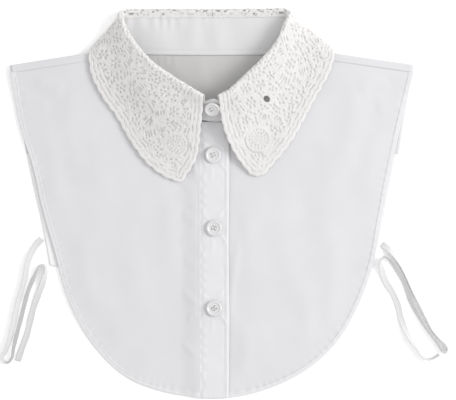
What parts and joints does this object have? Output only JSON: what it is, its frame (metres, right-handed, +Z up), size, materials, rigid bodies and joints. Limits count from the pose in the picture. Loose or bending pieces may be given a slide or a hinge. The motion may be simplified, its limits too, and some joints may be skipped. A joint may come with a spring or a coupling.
{
  "type": "detachable lace collar",
  "caption": "Detachable white cotton shirt collar with rolled lace leaves, bib panels, a buttoned front and side ties, laid flat.",
  "frame": {"origin": "on the table under the middle of the collar's outline, the side ties left out", "axes": "+Z up from the table, +Y from the hem to the top of the collar, +X to the wearer's left side, which is the viewer's right"},
  "size_m": [0.3593, 0.3126, 0.0227],
  "materials": {
    "cotton_cloth": "white cotton poplin, matt, fine plain weave",
    "stand_cloth": "the same poplin, doubled",
    "lace": "white cotton lace with a corded, scalloped edge, matt",
    "button": "white pearl, glossy",
    "tape": "narrow white cotton tape"
  },
  "bodies": {
    "root": {"back_panel": "cotton_cloth", "front_left": "cotton_cloth", "front_right": "cotton_cloth", "placket": "cotton_cloth", "collar_stand": "stand_cloth", "lace_leaf_left": "lace", "lace_leaf_right": "lace", "button_1": "button", "button_2": "button", "button_3": "button", "button_4": "button", "tie_left": "tape", "tie_right": "tape"}
  },
  "joints": []
}
